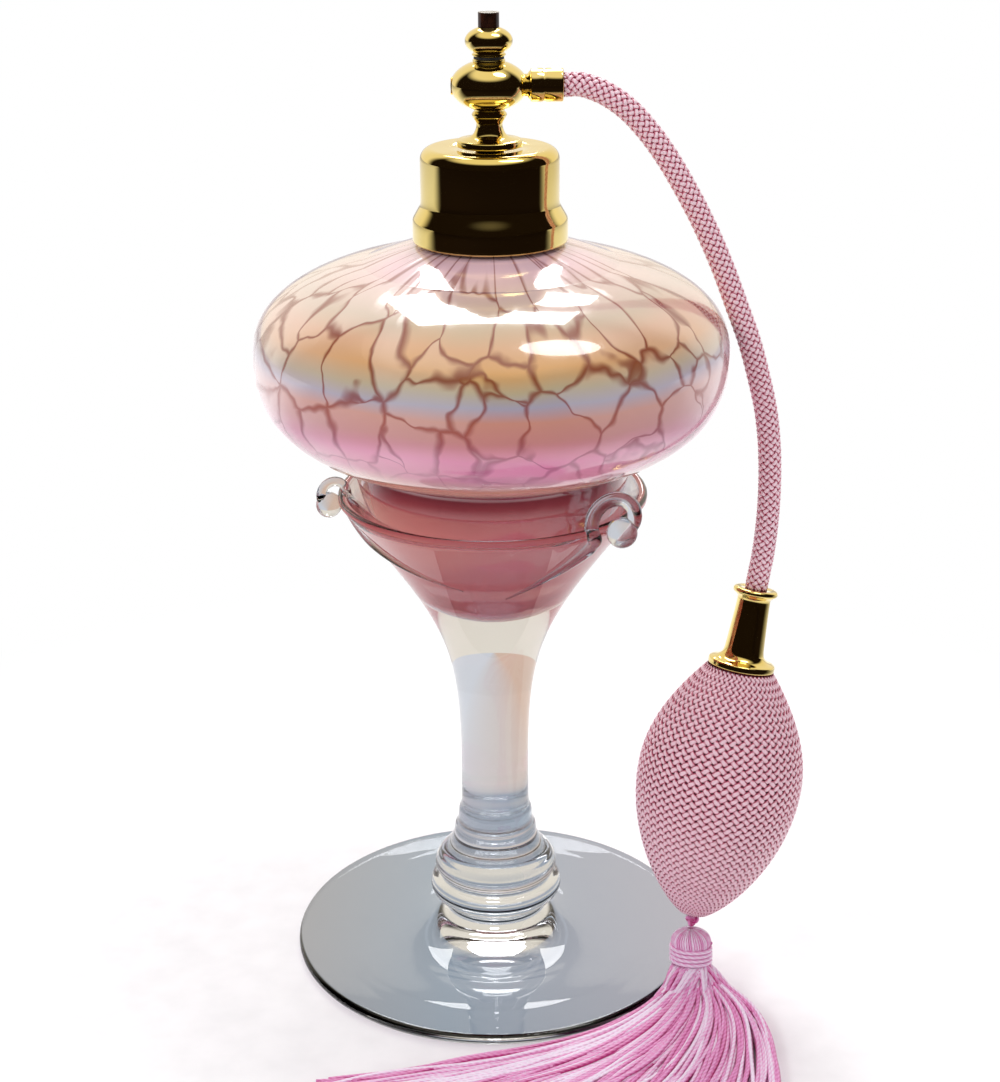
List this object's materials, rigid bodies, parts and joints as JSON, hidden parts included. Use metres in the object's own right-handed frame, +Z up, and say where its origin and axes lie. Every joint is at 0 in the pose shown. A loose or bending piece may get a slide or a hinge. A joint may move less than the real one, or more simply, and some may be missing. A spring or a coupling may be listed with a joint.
{
  "type": "perfume atomizer bottle",
  "caption": "Stemmed glass perfume bottle with a flattened round flask, metal spray head, braided hose, netted squeeze bulb and thread tassel.",
  "frame": {"origin": "centre of the glass foot's underside", "axes": "+Z up along the bottle's axis, +X towards the hose's spigot, -Y towards the side where the tassel lies"},
  "size_m": [0.1057, 0.1351, 0.1896],
  "materials": {
    "clear_glass": "polished clear soda-lime glass",
    "flask_glass": "opaque pink lustred glass with a crackled veil",
    "gold_metal": "gold-plated brass, mirror polished",
    "raw_brass": "turned brass",
    "steel": "ground steel",
    "grey_rubber": "moulded nitrile rubber",
    "pink_rubber": "moulded latex rubber",
    "white_plastic": "moulded polypropylene",
    "tube_plastic": "extruded polyethylene",
    "tip_plastic": "dark brown lacquered plastic",
    "hose_braid": "braided rayon cord over a rubber core",
    "net_yarn": "knitted rayon net",
    "tassel_yarn": "rayon thread with a silky sheen"
  },
  "bodies": {
    "bottle": {"foot": "clear_glass", "knop": "clear_glass", "stem_cup": "clear_glass", "curl_left": "clear_glass", "curl_right": "clear_glass", "curl_back": "clear_glass", "flask": "flask_glass", "neck": "flask_glass", "neck_collar": "gold_metal"},
    "seal": {"gasket": "grey_rubber"},
    "carrier": {"swivel_plate": "white_plastic"},
    "cap": {"cap_shell": "gold_metal", "cap_liner": "white_plastic"},
    "spray_head": {"head": "gold_metal", "shank": "raw_brass", "shank_clip": "steel", "dip_tube": "tube_plastic", "nozzle": "raw_brass", "spigot": "gold_metal"},
    "finial_ring": {"finial_seal": "grey_rubber"},
    "finial_knob": {"finial": "gold_metal", "finial_screw": "raw_brass", "finial_tip": "tip_plastic"},
    "bulb": {"air_hose": "hose_braid", "ferrule": "gold_metal", "bulb_barb": "raw_brass", "bulb_rubber": "pink_rubber", "bulb_net": "net_yarn", "inlet_valve": "raw_brass", "hanging_knot": "tassel_yarn"},
    "outlet": {"outlet_ball": "steel"},
    "inlet": {"inlet_ball": "steel"},
    "tassel": {"tassel_head": "tassel_yarn", "tassel_wraps": "tassel_yarn", "tassel_fringe": "tassel_yarn"}
  },
  "joints": [
    {"name": "atomizer_lift", "type": "slide", "parent": "bottle", "child": "seal", "axis": [0, 0, 1], "range_m": [0, 0.04]},
    {"name": "thread_rise", "type": "slide", "parent": "seal", "child": "carrier", "axis": [0, 0, 1], "range_m": [0, 0.0035]},
    {"name": "cap_turn", "type": "hinge", "parent": "carrier", "child": "cap", "pos_m": [0, 0, 0.1585], "axis": [0, 0, 1], "range_deg": [0, 420]},
    {"name": "head_swivel", "type": "hinge", "parent": "carrier", "child": "spray_head", "pos_m": [0, 0, 0.1638], "axis": [0, 0, 1], "range_deg": [-180, 180]},
    {"name": "finial_rise", "type": "slide", "parent": "spray_head", "child": "finial_ring", "axis": [0, 0, 1], "range_m": [0, 0.00075]},
    {"name": "finial_turn", "type": "hinge", "parent": "finial_ring", "child": "finial_knob", "pos_m": [0, 0, 0.1818], "axis": [0, 0, 1], "range_deg": [0, 540]},
    {"name": "bulb_swing", "type": "hinge", "parent": "spray_head", "child": "bulb", "pos_m": [0.0134, 0, 0.1765], "axis": [1, 0, 0], "range_deg": [-80, 0]},
    {"name": "outlet_lift", "type": "slide", "parent": "bulb", "child": "outlet", "axis": [0.1739, 0.1801, 0.9681], "range_m": [0, 0.0008]},
    {"name": "inlet_lift", "type": "slide", "parent": "bulb", "child": "inlet", "axis": [0.1739, 0.1801, 0.9681], "range_m": [0, 0.0008]},
    {"name": "tassel_swing", "type": "hinge", "parent": "bulb", "child": "tassel", "pos_m": [0.0389, -0.0204, 0.0131], "axis": [-0.848, 0.53, 0], "range_deg": [0, 50]}
  ],
  "couplings": [
    {"joint": "thread_rise", "follows": "cap_turn", "m_per_rad": 0.00047746},
    {"joint": "finial_turn", "follows": "finial_rise", "rad_per_m": 12566}
  ]
}
